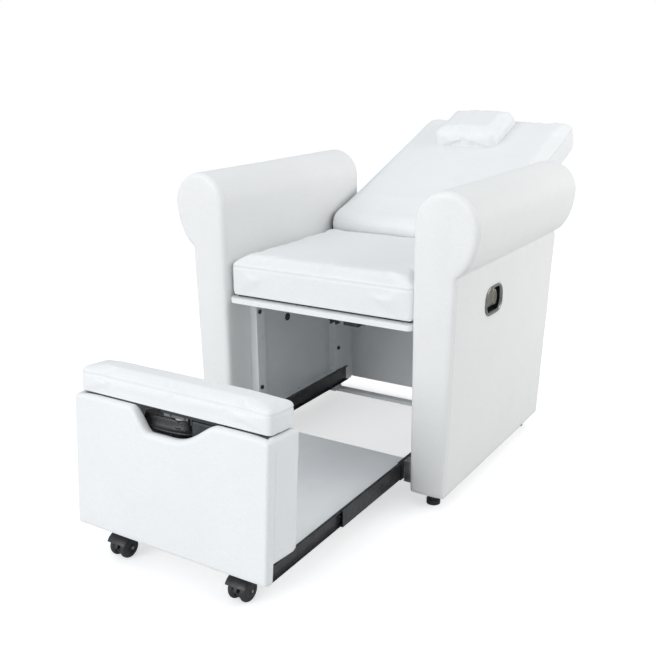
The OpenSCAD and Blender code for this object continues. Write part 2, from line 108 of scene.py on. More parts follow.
class Graph:
    """Short way to add and link shader nodes."""

    def __init__(self, material):
        self.tree = material.node_tree
        coords = self.tree.nodes.new("ShaderNodeTexCoord")
        self.place = coords.outputs["Object"]

    def add(self, kind, **inputs):
        node = self.tree.nodes.new(kind)
        for key, value in inputs.items():
            self.link(value, node.inputs[key.replace("_", " ")])
        return node

    def noise(self, scale, detail=3.0, rough=0.5, distortion=0.0, stretch=(1, 1, 1)):
        place = self.add("ShaderNodeMapping", Vector=self.place, Scale=stretch).outputs[0]
        return self.add("ShaderNodeTexNoise", Vector=place, Scale=scale, Detail=detail,
                        Roughness=rough, Distortion=distortion).outputs[0]

    def cells(self, scale, smooth=0.6):
        node = self.tree.nodes.new("ShaderNodeTexVoronoi")
        node.feature = "SMOOTH_F1"
        node.inputs["Scale"].default_value = scale
        node.inputs["Smoothness"].default_value = smooth
        self.tree.links.new(self.place, node.inputs["Vector"])
        return node.outputs["Distance"]

    def ramp(self, value, low, high, out_low, out_high):
        return self.add("ShaderNodeMapRange", Value=value, From_Min=low, From_Max=high,
                        To_Min=out_low, To_Max=out_high).outputs[0]

    def math(self, kind, a, b):
        node = self.tree.nodes.new("ShaderNodeMath")
        node.operation = kind
        for socket, value in zip(node.inputs, (a, b)):
            self.link(value, socket)
        return node.outputs[0]

    def mix(self, factor, a, b):
        node = self.tree.nodes.new("ShaderNodeMix")
        node.data_type = "RGBA"
        self.link(factor, node.inputs[0])
        for socket, value in ((node.inputs[6], a), (node.inputs[7], b)):
            self.link((*value, 1) if isinstance(value, tuple) else value, socket)
        return node.outputs[2]

    def tone(self, shader, marks, low, high, share, light, shade):
        """Base colour that turns from light towards shade as the marks rise from low to high."""
        colour = self.mix(self.ramp(marks, low, high, 0.0, share), light, shade)
        self.link(colour, shader.inputs["Base Color"])

    def wear(self, shader, marks, low, high):
        """Roughness from low to high with the marks."""
        self.link(self.ramp(marks, 0.3, 0.7, low, high), shader.inputs["Roughness"])

    def bump(self, shader, *layers):
        """Bumps the shader by the sum of its layers, each a value and its height in metres."""
        total, *rest = [self.math("MULTIPLY", value, height) for value, height in layers]
        for layer in rest:
            total = self.math("ADD", total, layer)
        node = self.add("ShaderNodeBump", Strength=1.0, Distance=1.0, Height=total)
        self.link(node.outputs[0], shader.inputs["Normal"])

    def link(self, value, socket):
        """Links another node's output to a socket, or sets the socket to a constant."""
        if isinstance(value, bpy.types.NodeSocket):
            self.tree.links.new(value, socket)
        else:
            socket.default_value = value


def leatherette(name, light, shade, rough=0.44):
    """Coated upholstery cloth: pebbled grain with painted shade in its valleys, fine pores, soft creases,
    faint handling marks.
    """
    m, shader = new_material(name)
    g = Graph(m)
    patches = g.noise(5.5, detail=4.0, rough=0.6)
    pebbles = g.cells(620)
    pores = g.noise(2600, detail=2.0)
    creases = g.noise(26, detail=6.0, rough=0.62, distortion=1.3, stretch=(1, 0.45, 1.6))
    waves = g.noise(9, detail=2.0)
    tone = g.mix(g.ramp(patches, 0.35, 0.7, 0.0, 0.75), light, shade)
    # Painted shade: the colour darkens between the pebbles, where the grain's bump sinks.
    valley_painted_shade = tuple(c * 0.93 for c in shade)
    g.link(g.mix(g.ramp(pebbles, 0.32, 0.62, 0.0, 0.5), tone, valley_painted_shade), shader.inputs["Base Color"])
    worn = g.noise(14, detail=5.0, rough=0.7)
    g.wear(shader, worn, rough - 0.06, rough + 0.08)
    g.bump(shader, (g.math("SUBTRACT", 1.0, pebbles), 0.00011), (pores, 0.00003), (creases, 0.0007),
           (waves, 0.0016))
    shader.inputs["Specular IOR Level"].default_value = 0.42
    shader.inputs["Sheen Weight"].default_value = 0.06
    return m


def coated_board(name, light, shade, rough=0.34):
    """White coated board and painted steel: faint orange peel, rubbed marks."""
    m, shader = new_material(name)
    g = Graph(m)
    marks = g.noise(7, detail=6.0, rough=0.68, stretch=(1, 0.3, 1))
    g.tone(shader, marks, 0.4, 0.72, 0.8, light, shade)
    g.wear(shader, g.noise(40, detail=5.0), rough - 0.05, rough + 0.12)
    g.bump(shader, (g.noise(420, detail=2.0), 0.00006), (g.noise(18), 0.0004))
    return m


def metal(name, light, shade, rough, brushed=0.0, base_metal=1.0):
    """Plated or painted metal with fine drawn lines, smudges and dulled patches."""
    m, shader = new_material(name)
    g = Graph(m)
    smudge = g.noise(38, detail=6.0, rough=0.65)
    g.tone(shader, smudge, 0.38, 0.7, 1.0, light, shade)
    g.wear(shader, g.noise(90, detail=5.0), rough * 0.75, rough * 1.35)
    lines = g.noise(380, detail=3.0, stretch=(1, 0.05, 1))
    g.bump(shader, (lines, 0.00002 + 0.00006 * brushed), (g.noise(60), 0.00005))
    shader.inputs["Metallic"].default_value = base_metal
    return m


def plastic(name, light, shade, rough=0.42, grain=1.0, scale=700):
    """Moulded plastic or tread: stippled skin, dust-dulled patches."""
    m, shader = new_material(name)
    g = Graph(m)
    dust = g.noise(24, detail=6.0, rough=0.7)
    g.tone(shader, dust, 0.42, 0.75, 1.0, light, shade)
    g.wear(shader, g.noise(70, detail=4.0), rough - 0.07, rough + 0.12)
    g.bump(shader, (g.cells(scale), 0.00018 * grain), (g.noise(30), 0.0002))
    return m


hide = leatherette("white_leatherette", (0.87, 0.882, 0.89), (0.83, 0.842, 0.85))
# Painted warm light: a warmer copy of the white leatherette for the arms, standing in for the warm side
# light.
hide_painted_warm_light = leatherette("white_leatherette_painted_warm_light", (0.875, 0.875, 0.87), (0.84, 0.84, 0.832))
board = coated_board("white_coated_board", (0.84, 0.86, 0.87), (0.76, 0.78, 0.79))
# Painted light: brighter copies of the same white coated board, which lift the base board, back board, box
# rear foot and seat board out of their shade.
base_painted_light = coated_board("drawer_board_painted_light", (0.90, 0.915, 0.925), (0.85, 0.865, 0.88), 0.38)
seat_painted_light = coated_board("seat_board_painted_light", (0.90, 0.905, 0.91), (0.84, 0.845, 0.85), 0.3)
steel_paint = coated_board("white_steel_paint", (0.84, 0.86, 0.87), (0.74, 0.76, 0.77), 0.3)
black_coat = metal("black_coated_steel", (0.017, 0.019, 0.021), (0.034, 0.036, 0.038), 0.34, 0.4, 0.0)
black_mould = plastic("black_moulded_plastic", (0.014, 0.016, 0.018), (0.032, 0.034, 0.036), 0.4, 0.8)
grained_mould = plastic("grained_black_plastic", (0.018, 0.020, 0.022), (0.045, 0.048, 0.05),
                        0.33, 2.6, 330)
tread = plastic("wheel_tread", (0.016, 0.017, 0.019), (0.05, 0.05, 0.052), 0.48, 0.6, 900)
zinc = metal("zinc_plate", (0.52, 0.53, 0.54), (0.34, 0.35, 0.35), 0.32, 1.0)
chrome = metal("polished_chrome", (0.72, 0.73, 0.74), (0.55, 0.56, 0.57), 0.1)
bezel_metal = metal("satin_bezel", (0.25, 0.275, 0.265), (0.15, 0.165, 0.16), 0.24)
lever_metal = metal("lever_plate", (0.26, 0.245, 0.21), (0.17, 0.16, 0.14), 0.38, 1.0)
grey_mould = plastic("grey_plastic", (0.12, 0.125, 0.13), (0.19, 0.195, 0.2), 0.5)
paddle_coat = metal("paddle_coat", (0.035, 0.04, 0.044), (0.06, 0.066, 0.07), 0.36, 0.8, 0.3)
thread = plastic("white_thread", (0.74, 0.75, 0.76), (0.6, 0.61, 0.62), 0.7, 0.3, 3000)


# ---------------- mesh helpers

def make_object(name, verts, faces, material):
    mesh = bpy.data.meshes.new(name)
    mesh.from_pydata([tuple(v) for v in verts], [], faces)
    bm = bmesh.new()
    bm.from_mesh(mesh)
    bmesh.ops.recalc_face_normals(bm, faces=bm.faces)
    bm.to_mesh(mesh)
    bm.free()
    o = bpy.data.objects.new(name, mesh)
    scene.collection.objects.link(o)
    mesh.materials.append(material)
    mesh.polygons.foreach_set("use_smooth", [True] * len(mesh.polygons))
    return o


def soften_edges(o, width, segments, degrees):
    m = o.modifiers.new("bevel", "BEVEL")
    m.width = width
    m.segments = segments
    m.limit_method = "ANGLE"
    m.angle_limit = math.radians(degrees)
    m.use_clamp_overlap = True


def apply_modifiers(o):
    graph = bpy.context.evaluated_depsgraph_get()
    mesh = bpy.data.meshes.new_from_object(o.evaluated_get(graph))
    old = o.data
    o.modifiers.clear()
    o.data = mesh
    bpy.data.meshes.remove(old)
    mesh.name = o.name
    mesh.polygons.foreach_set("use_smooth", [True] * len(mesh.polygons))


def remesh(o, size):
    material = o.data.materials[0]
    m = o.modifiers.new("remesh", "REMESH")
    m.mode = "VOXEL"
    m.voxel_size = size
    apply_modifiers(o)
    o.data.materials.clear()
    o.data.materials.append(material)


def subdivide(o, levels=1):
    m = o.modifiers.new("subdivide", "SUBSURF")
    m.levels = m.render_levels = levels
    apply_modifiers(o)


def smooth(o, rounds=4, factor=0.5):
    m = o.modifiers.new("smooth", "SMOOTH")
    m.iterations = rounds
    m.factor = factor
    apply_modifiers(o)


def vectors(items, key):
    flat = np.zeros(len(items) * 3, np.float32)
    items.foreach_get(key, flat)
    return flat.reshape(-1, 3).astype(float)


def coords(o):
    return vectors(o.data.vertices, "co")


def normals(o):
    return vectors(o.data.vertex_normals, "vector")


def set_coords(o, co):
    o.data.vertices.foreach_set("co", co.astype(np.float32).ravel())
    o.data.update()


def displace(o, amount):
    """Moves each point along its normal by amount(co, normal)."""
    co, out = coords(o), normals(o)
    set_coords(o, co + out * amount(co, out)[:, None])


def rough_noise(co, scale, seed=0.0):
    """Smooth noise from -1 to 1 at each point."""
    return np.array([noise(Vector((p[0] * scale + seed, p[1] * scale, p[2] * scale))) for p in co])


def cut(o, tool):
    """Takes the closed mesh tool away from o, and removes tool."""
    m = o.modifiers.new("cut", "BOOLEAN")
    m.operation = "DIFFERENCE"
    m.solver = "EXACT"
    m.object = tool
    apply_modifiers(o)
    bpy.data.objects.remove(tool)


def ring_faces(count, rings, first=0, closed=True):
    """Quads between neighbouring rings of count points; closed joins the last ring to the first."""
    faces = []
    for k in range(rings if closed else rings - 1):
        a, b = first + k * count, first + ((k + 1) % rings) * count
        faces += [[a + i, a + (i + 1) % count, b + (i + 1) % count, b + i] for i in range(count)]
    return faces


def lathe(profile, place, count=72):
    """Points and faces of a closed profile (radius, along) turned about the axis of place."""
    turn = [2 * math.pi * k / count for k in range(count)]
    verts = [place(radius * math.cos(a), radius * math.sin(a), along)
             for radius, along in profile for a in turn]
    return verts, ring_faces(count, len(profile))


def prism(name, outline, place, low, high, material):
    """Closed outline pushed from low to high; place(u, v, w) gives the row-frame point."""
    n = len(outline)
    verts = [place(u, v, low) for u, v in outline] + [place(u, v, high) for u, v in outline]
    faces = [list(range(n))[::-1], list(range(n, 2 * n))] + ring_faces(n, 2, closed=False)
    return make_object(name, verts, faces, material)


def slices(name, rings, material):
    """Closed body through equal-length rings, with flat ends."""
    n = len(rings[0])
    verts = [p for ring in rings for p in ring]
    faces = [list(range(n))[::-1], [(len(rings) - 1) * n + i for i in range(n)]]
    return make_object(name, verts, faces + ring_faces(n, len(rings), closed=False), material)


def block(name, lo, hi, place, corner_r, top_r, bottom_r, material):
    """Upholstered block with rounded corners, in the coordinates of place."""
    o = prism(name, [(lo[0], lo[1]), (hi[0], lo[1]), (hi[0], hi[1]), (lo[0], hi[1])],
              row_point, lo[2], hi[2], material)
    bm = bmesh.new()
    bm.from_mesh(o.data)

    def bevel(test, width, steps):
        edges = [e for e in bm.edges if test(*[v.co for v in e.verts])]
        bmesh.ops.bevel(bm, geom=edges, offset=width, segments=steps, profile=0.5, affect="EDGES")

    bevel(lambda a, b: abs(a.z - b.z) > 1e-5, corner_r, 6)
    bevel(lambda a, b: min(a.z, b.z) > hi[2] - 1e-6, top_r, 5)
    bevel(lambda a, b: max(a.z, b.z) < lo[2] + 1e-6, bottom_r, 3)
    for v in bm.verts:
        v.co = place(*v.co)
    bmesh.ops.triangulate(bm, faces=[f for f in bm.faces if len(f.verts) > 4])
    bmesh.ops.recalc_face_normals(bm, faces=bm.faces)
    bm.to_mesh(o.data)
    bm.free()
    return o


CLOTH_FRAMES = 20


def inflate(o, pressure, cap, keep_flat=None):
    """Blows the cover up with cloth pressure. cap(co, normal) says how far each point may move."""
    rest, outward = coords(o), normals(o)
    limit = cap(rest, outward)
    m = o.modifiers.new("cloth", "CLOTH")
    s = m.settings
    s.quality = 5
    s.mass = 0.3
    s.tension_stiffness = s.compression_stiffness = 18
    s.shear_stiffness = 6
    s.bending_stiffness = 0.6
    s.use_pressure = True
    s.uniform_pressure_force = pressure
    s.effector_weights.gravity = 0
    m.collision_settings.use_collision = False
    m.point_cache.frame_start, m.point_cache.frame_end = 1, CLOTH_FRAMES
    for f in range(1, CLOTH_FRAMES + 1):
        scene.frame_set(f)
    graph = bpy.context.evaluated_depsgraph_get()
    blown = vectors(o.evaluated_get(graph).data.vertices, "co")
    o.modifiers.clear()
    scene.frame_set(1)
    moved = blown - rest
    moved -= moved.mean(0)
    size = np.linalg.norm(moved, axis=1)
    scale = np.minimum(1.0, limit / np.maximum(size, 1e-9))
    co = rest + moved * scale[:, None]
    if keep_flat is not None:
        co = keep_flat(co, rest)
    set_coords(o, co)


def tree_of(o):
    graph = bpy.context.evaluated_depsgraph_get()
    return BVHTree.FromObject(o, graph)


def surface_path(tree, starts, aims):
    """Where rays from starts towards aims meet the surface, as (points, normals)."""
    points, outs = [], []
    for a, b in zip(starts, aims):
        d = (Vector(b) - Vector(a)).normalized()
        hit, n, _, _ = tree.ray_cast(Vector(a), d)
        if hit is not None:
            points.append(np.array(hit))
            outs.append(np.array(n if n.dot(d) < 0 else -n))
    return np.array(points), np.array(outs)


PATH_GAP = 0.05
GROOVE_STEP = 0.0015


def groove(o, path, depth, width):
    """Presses a seam into the surface along the path's points."""
    dense = []
    for a, b in zip(path, np.roll(path, -1, axis=0)):
        if np.linalg.norm(b - a) > PATH_GAP:
            dense.append(a)
            continue
        steps = max(1, int(np.linalg.norm(b - a) / GROOVE_STEP))
        dense += [a + (b - a) * k / steps for k in range(steps)]
    kd = KDTree(len(dense))
    for i, p in enumerate(dense):
        kd.insert(Vector(p), i)
    kd.balance()

    def press(co, out):
        near = np.array([kd.find(Vector(p))[2] for p in co])
        return -depth * np.exp(-(near / width) ** 2)

    displace(o, press)


# A stitch's rings: place along its length, share of its radius, and lift in radii.
STITCH_RINGS = ((-0.5, 0.35, -0.5), (-0.3, 1.0, 0.25), (0.0, 1.1, 0.5), (0.3, 1.0, 0.25), (0.5, 0.35, -0.5))
STITCH_SIDES = 6
FINE_STITCH = (0.0045, 0.0032, 0.00036)


def stitch_line(name, path, outs, pitch=0.0052, length=0.0037, radius=0.00042):
    """Row of thread stitches that follow the path, each a small bowed strand dipping into the cover."""
    steps = np.linalg.norm(np.diff(path, axis=0), axis=1)
    at = np.concatenate([[0], np.cumsum(steps)])
    verts, faces = [], []
    for k in range(int(at[-1] / pitch)):
        middle = k * pitch + length / 2
        centre = np.array([np.interp(middle, at, path[:, axis]) for axis in range(3)])
        i = min(np.searchsorted(at, middle), len(path) - 1)
        tangent = path[i] - path[max(i - 1, 0)]
        size = np.linalg.norm(tangent)
        if size < 1e-7 or size > 0.03:
            continue
        tangent = tangent / size
        up = outs[i] - tangent * np.dot(outs[i], tangent)
        up = up / max(np.linalg.norm(up), 1e-9)
        side = np.cross(tangent, up)
        first = len(verts)
        for along, share, lift in STITCH_RINGS:
            mid = centre + tangent * length * along + up * radius * lift
            for a in range(STITCH_SIDES):
                turn = a * math.pi / 3
                verts.append(mid + (side * math.cos(turn) + up * math.sin(turn)) * radius * share)
        last = len(verts) - STITCH_SIDES
        faces += ring_faces(STITCH_SIDES, len(STITCH_RINGS), first, closed=False)
        faces += [[first + a for a in range(STITCH_SIDES)][::-1], [last + a for a in range(STITCH_SIDES)]]
    return make_object(name, verts, faces, thread)


def ride_all(body, *pieces, slot=None):
    for p in pieces:
        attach(p, body)


def arc(mid_u, mid_v, r, degrees):
    """Points of an arc at the given angles."""
    turn = [math.radians(a) for a in degrees]
    return [(mid_u + r * math.cos(a), mid_v + r * math.sin(a)) for a in turn]


def rect_ring(lo, hi, r, count=12):
    """Round-cornered rectangle, anticlockwise, with count points at each corner."""
    (u0, v0), (u1, v1) = lo, hi
    corners = (u1 - r, v0 + r, -90), (u1 - r, v1 - r, 0), (u0 + r, v1 - r, 90), (u0 + r, v0 + r, 180)
    ring = []
    for u, v, start in corners:
        ring += arc(u, v, r, [start + 90 * k / (count - 1) for k in range(count)])
    return ring


def loop_rect(lo, hi, r, step):
    """Evenly spaced points round a rectangle with round corners, from the middle of the low-v side."""
    start = ((lo[0] + hi[0]) / 2, lo[1])
    pts = [start] + rect_ring(lo, hi, r, 7) + [start]
    out = []
    for a, b in zip(pts, pts[1:]):
        n = max(1, int(math.dist(a, b) / step))
        out += [(a[0] + (b[0] - a[0]) * k / n, a[1] + (b[1] - a[1]) * k / n) for k in range(n)]
    return out


# ---------------- arms

NECK_X, NECK_DROP, FOOT_X = 0.028, 0.124, 0.091
REAR_LEAN = 0.028
POCKET_GAP, CUP_GAP = 0.0004, 0.0015
POCKET_DEPTH = 0.0042
SEAM_FROM_FRONT = 0.0145
neck_turn = math.acos(NECK_X / roll_r)
neck_z = roll_z - NECK_DROP * math.sin(neck_turn)


def arm_outline():
    pts = arc(roll_x, roll_z, roll_r, range(180, -1, -6))
    for k in range(1, 15):
        a = neck_turn * k / 14
        pts.append((roll_x + roll_r * math.cos(a), roll_z - NECK_DROP * math.sin(a)))
    foot = (half_seat + FOOT_X, arm_lo.z)
    neck = pts[-1]
    pts += [(neck[0] + (foot[0] - neck[0]) * k / 12, neck[1] + (foot[1] - neck[1]) * k / 12)
            for k in range(1, 13)]
    pts.append((half_seat, arm_lo.z))
    inner = [(half_seat, arm_lo.z + (roll_z - arm_lo.z) * k / 14) for k in range(1, 14)]
    return pts + inner


def arm_rear(z):
    lean = REAR_LEAN / (neck_z - arm_lo.z)
    return front_y + arm_depth - max(0.0, (neck_z - z) * lean)


def make_arm(side, name):
    outline = arm_outline()
    n = len(outline)
    verts = [(x, front_y, z) for x, z in outline] + [(x, arm_rear(z), z) for x, z in outline]
    faces = [list(range(n)), list(range(n, 2 * n))] + ring_faces(n, 2, closed=False)
    o = make_object(name, verts, faces, hide_painted_warm_light)
    bm = bmesh.new()
    bm.from_mesh(o.data)
    rims = [e for e in bm.edges if all(abs(v.co.y - front_y) < 1e-6 for v in e.verts)
            or all(v.co.y > front_y + 0.3 for v in e.verts)]
    bmesh.ops.bevel(bm, geom=rims, offset=0.010, segments=4, profile=0.5, affect="EDGES",
                    clamp_overlap=False)
    bmesh.ops.triangulate(bm, faces=bm.faces)
    bm.to_mesh(o.data)
    bm.free()
    remesh(o, 0.0055)
    smooth(o, 2, 0.4)
    co, out = coords(o), normals(o)
    facing = np.clip(-out[:, 1], 0, 1)
    across = np.clip((co[:, 0] - half_seat) / FOOT_X, 0, 1)
    belly = facing * np.sin(np.pi * across) * np.clip((arm_hi.z - co[:, 2]) / 0.06, 0, 1)
    co -= np.array([0, 1, 0]) * (belly * 0.0035)[:, None]
    ripple = rough_noise(co, 7) * 0.0009 + rough_noise(co, 22, 5) * 0.0003
    pull = np.exp(-((co[:, 2] - neck_z) / 0.03) ** 2) * np.clip(out[:, 0], 0, 1)
    ripple += pull * rough_noise(co * np.array([1, 1, 0.4]), 34, 9) * 0.0011
    crease_x = roll_x + NECK_X
    near = np.hypot(co[:, 0] - crease_x, co[:, 2] - neck_z)
    ripple -= 0.0045 * np.exp(-(near / 0.006) ** 2) * np.clip(1 - facing * 2, 0, 1)
    inside = (co[:, 0] < half_seat + 0.002)
    ripple[inside] = 0
    co += out * ripple[:, None]
    set_coords(o, co)
    panel_lo, panel_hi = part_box("inner_panels")
    y0, y1 = panel_lo.y - POCKET_GAP, panel_hi.y + POCKET_GAP
    z0, z1 = panel_lo.z - 0.02, panel_hi.z + POCKET_GAP
    pocket = prism(name + "_pocket", [(y0, z0), (y1, z0), (y1, z1), (y0, z1)], across_x,
                   half_seat - 0.01, half_seat + POCKET_DEPTH, hide_painted_warm_light)
    cut(o, pocket)
    if side > 0:
        cup_lo, cup_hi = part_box("handle_cup")
        ring = loop_rect((cup_lo.y - CUP_GAP, cup_lo.z - CUP_GAP),
                         (cup_hi.y + CUP_GAP, cup_hi.z + CUP_GAP), 0.0285, 0.008)
        well = prism(name + "_well", ring, across_x, cup_lo.x - 0.002, arm_hi.x, hide_painted_warm_light)
        cut(o, well)
    return o


def arm_seam():
    """Thread line along the front edge of the arm, where the facing panel is sewn to the wrap."""
    outline = arm_outline()
    pts, outs = [], []
    for (x0, z0), (x1, z1) in zip(outline, outline[1:]):
        d = Vector((x1 - x0, 0, z1 - z0))
        if d.length < 1e-6:
            continue
        n = Vector((-d.z, 0, d.x)).normalized()
        steps = max(1, int(d.length / 0.004))
        for k in range(steps):
            pts.append((x0 + d.x * k / steps + n.x * 0.0004, front_y + SEAM_FROM_FRONT,
                        z0 + d.z * k / steps + n.z * 0.0004))
            outs.append(tuple(n))
    return np.array(pts), np.array(outs)


MIRROR = np.array([-1, 1, 1])
arm_right = make_arm(1, "arm_right_cover")
arm_left = make_arm(-1, "arm_left_cover")
co = coords(arm_left)
co[:, 0] *= -1
set_coords(arm_left, co)
arm_left.data.flip_normals()
arm_pts, arm_outs = arm_seam()
tree = tree_of(arm_right)
hit_pts, hit_outs = surface_path(tree, arm_pts + arm_outs * 0.02, arm_pts - arm_outs * 0.02)
arm_thread_right = stitch_line("arm_right_thread", hit_pts, hit_outs)
arm_thread_left = stitch_line("arm_left_thread", hit_pts * MIRROR, hit_outs * MIRROR)
ride_all("chair_frame", arm_right, arm_left, arm_thread_right, arm_thread_left, slot="leatherette")
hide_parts("arm_right")
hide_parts("arm_left")

# ---------------- seat cushion

SEAT_INSET, SEAT_CROWN, SEAT_CORNER_R = 0.002, 0.003, 0.016
seat = block("seat_cover", (seat_lo.x + SEAT_INSET, seat_lo.y + SEAT_INSET, seat_lo.z),
             (seat_hi.x - SEAT_INSET, seat_hi.y - SEAT_INSET, seat_hi.z - SEAT_CROWN),
             row_point, SEAT_CORNER_R, 0.013, 0.006, hide)
remesh(seat, 0.006)


def seat_cap(co, out):
    up = np.clip(out[:, 2], 0, 1)
    ahead = np.clip(-out[:, 1], 0, 1)
    return 0.0012 + 0.0125 * up ** 2 + 0.006 * ahead ** 2


def seat_floor(co, rest):
    co[:, 2] = np.maximum(co[:, 2], seat_lo.z + 0.0002)
    low = rest[:, 2] < seat_lo.z + 0.002
    co[low, 2] = rest[low, 2]
    return co


inflate(seat, 4, seat_cap, seat_floor)
subdivide(seat)
displace(seat, lambda co, out: rough_noise(co, 8, 3) * 0.0008 * np.clip(out[:, 2], 0, 1))


def rim_path(tree, lo, hi, r, level, place, reach=0.05):
    """Path round a block's sides at a level, found on its surface."""
    ring = loop_rect(lo, hi, r, 0.004)
    count = len(ring)
    starts, aims = [], []
    for k, (u, v) in enumerate(ring):
        a, b = ring[(k + 1) % count], ring[k - 1]
        d = (a[0] - b[0], a[1] - b[1])
        size = math.hypot(*d)
        n = (d[1] / size, -d[0] / size)
        starts.append(place(u + n[0] * reach, v + n[1] * reach, level))
        aims.append(place(u - n[0] * 0.02, v - n[1] * 0.02, level))
    return surface_path(tree, starts, aims)


tree = tree_of(seat)
seam_z = seat_hi.z - 0.021
path, outs = rim_path(tree, (seat_lo.x, seat_lo.y), (seat_hi.x, seat_hi.y), SEAT_CORNER_R, seam_z,
                      row_point)
groove(seat, path, 0.0016, 0.0024)
seat_thread = stitch_line("seat_thread", path - outs * 0.0004 + np.array([0, 0, 0.0045]), outs)
ride_all("chair_frame", seat, seat_thread, slot="leatherette")
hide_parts("seat_cushion")

# ---------------- back


def back_ring(x, inset, top_cut):
    half = BACK_HALF_T - inset
    end = BACK_LEN - inset - top_cut
    r = max(0.004, BACK_END_R - inset)
    pts = arc(0, 0, half, [90 + 7.5 * k for k in range(25)])
    pts += [((end - r) * k / 40, -half) for k in range(1, 40)]
    pts += arc(end - r, -half + r, r, range(-90, 1, 15))
    pts += arc(end - r, half - r, r, range(0, 91, 15))
    pts += [((end - r) * k / 40, half) for k in range(39, 0, -1)]
    return [back_point(x, u, v) for u, v in pts]


def back_rings(half_w, edge_r, corner_r, shrink):
    rings = []
    xs = [half_w - edge_r + edge_r * math.sin(math.radians(15 * k)) for k in range(7)]
    insets = [edge_r * (1 - math.cos(math.radians(15 * k))) for k in range(7)]
    inner = [(x, 0.0) for x in np.linspace(0, half_w - corner_r, 8)[1:]]
    inner += [(x, 0.0) for x in np.linspace(half_w - corner_r, half_w - edge_r, 4)[1:-1]]
    side = inner + list(zip(xs, insets))
    full = [(-x, i) for x, i in reversed(side)] + [(0.0, 0.0)] + side
    for x, inset in full:
        over = max(0.0, abs(x) - (half_w - corner_r))
        top_cut = corner_r - math.sqrt(max(0.0, corner_r ** 2 - over ** 2))
        rings.append(back_ring(x, inset + shrink, min(top_cut, corner_r - edge_r * 0.3)))
    return rings


back = slices("back_cover", back_rings(back_half_w - 0.002, 0.013, 0.028, 0.0025), hide)
remesh(back, 0.006)
back_out = np.array(back_point(0, 0, 1)) - np.array(back_point(0, 0, 0))
back_up = np.array(back_point(0, 1, 0)) - np.array(back_point(0, 0, 0))
back_zero = np.array(back_point(0, 0, 0))


def back_cap(co, out):
    face = np.clip(out @ back_out, 0, 1)
    top = np.clip(out @ back_up, 0, 1)
    along = (co - back_zero) @ back_up
    free = np.clip((along - 0.01) / 0.08, 0, 1)
    return 0.0008 + (0.010 * face ** 2 + 0.005 * top) * free


inflate(back, 4, back_cap)
subdivide(back)
displace(back, lambda co, out: rough_noise(co, 7, 11) * 0.0011 * np.clip(out @ back_out, 0, 1))
tree = tree_of(back)


def back_seam_rays(level=BACK_HALF_T - 0.020, low=0.06, high=BACK_LEN - 0.03, step=0.004):
    """Rays up one side of the back, across its top and down its other side."""
    wide, edge = back_half_w + 0.05, back_half_w - 0.02
    rays = [((wide, s), (0, s)) for s in np.arange(low, high, step)]
    rays += [((x, BACK_LEN + 0.05), (x, 0)) for x in np.arange(edge, -back_half_w + 0.02, -step)]
    rays += [((-wide, s), (0, s)) for s in np.arange(high, low, -step)]
    return [[back_point(x, s, level) for x, s in ends] for ends in zip(*rays)]


starts, aims = back_seam_rays()
path, outs = surface_path(tree, starts, aims)
groove(back, path, 0.0015, 0.0024)
back_thread = stitch_line("back_thread", path + back_out * 0.0045 - outs * 0.0004, outs)

# Room left in the cover for the board, the side plates with their hubs, and the pins.
BOARD_POCKET = [(0.0118, -0.08), (0.6762, -0.08), (0.6762, -0.0308), (0.0118, -0.0308)]
BOARD_HALF_W = 0.2502
HUB_RECESS = arc(0, 0, 0.03, range(45, 316, 9)) + [(0.132, -0.021), (0.132, 0.021)]
PIN_HOLE = arc(0, 0, 0.0075, range(0, 360, 12))
cut(back, prism("board_tool", BOARD_POCKET, lambda u, v, w: back_point(w, u, v),
                -BOARD_HALF_W, BOARD_HALF_W, hide))
for side in (-1, 1):
    for outline, inner_x in ((HUB_RECESS, 0.2575), (PIN_HOLE, 0.24)):
        cut(back, prism("side_tool", outline, lambda u, v, w: back_point(side * w, u, v),
                        inner_x, 0.28, hide))
ride_all("reclining_back", back, back_thread, slot="leatherette")
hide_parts("back_cushion")

# ---------------- head pillow


def pillow_ring(x, inset):
    rest = BACK_HALF_T + 0.0006
    circles = [(0.468, rest + 0.036, 0.024), (0.604, rest + 0.031, 0.026),
               (0.456, rest + 0.010, 0.010), (0.638, rest + 0.010, 0.010)]
    pts = []
    for k in range(72):
        a = math.radians(5 * k)
        d = np.array([math.cos(a), math.sin(a)])
        best = max(circles, key=lambda c: c[0] * d[0] + c[1] * d[1] + c[2])
        r = max(0.001, best[2] - inset)
        p = np.array(best[:2]) + d * r
        pts.append((p[0], max(p[1], rest + inset * 0.6)))
    return [back_point(x, u, v) for u, v in pts]


pillow_lo, pillow_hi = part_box("headrest_pillow")
ends = [(0.022 * (1 - math.cos(math.radians(a))), 0.018 * (1 - math.sin(math.radians(a))))
        for a in range(0, 91, 15)]
left = [(pillow_lo.x + 0.003 + e, i) for e, i in ends]
right = [(pillow_hi.x - 0.003 - e, i) for e, i in reversed(ends)]
mid = [(x, 0.0) for x in np.linspace(left[-1][0], right[0][0], 12)[1:-1]]
pillow = slices("pillow_cover", [pillow_ring(x, i) for x, i in left + mid + right], hide)
remesh(pillow, 0.0045)


def pillow_cap(co, out):
    along_out = out @ back_out
    return np.where(along_out < -0.5, 0.0004, 0.009 - 0.003 * np.abs(out[:, 0]))


def pillow_rest(co, rest):
    height = (co - back_zero) @ back_out
    low = BACK_HALF_T + 0.0009
    co += np.maximum(0, low - height)[:, None] * back_out
    return co


inflate(pillow, 5, pillow_cap, pillow_rest)
subdivide(pillow)


def pillow_folds(co, out):
    soft = np.clip(out @ back_out + 0.5, 0, 1)
    corner = np.clip((np.abs(co[:, 0] - (pillow_lo.x + pillow_hi.x) / 2) - 0.06) / 0.05, 0, 1)
    return (rough_noise(co, 16, 2) * 0.0014 + rough_noise(co, 46, 8) * 0.0007 * corner) * soft


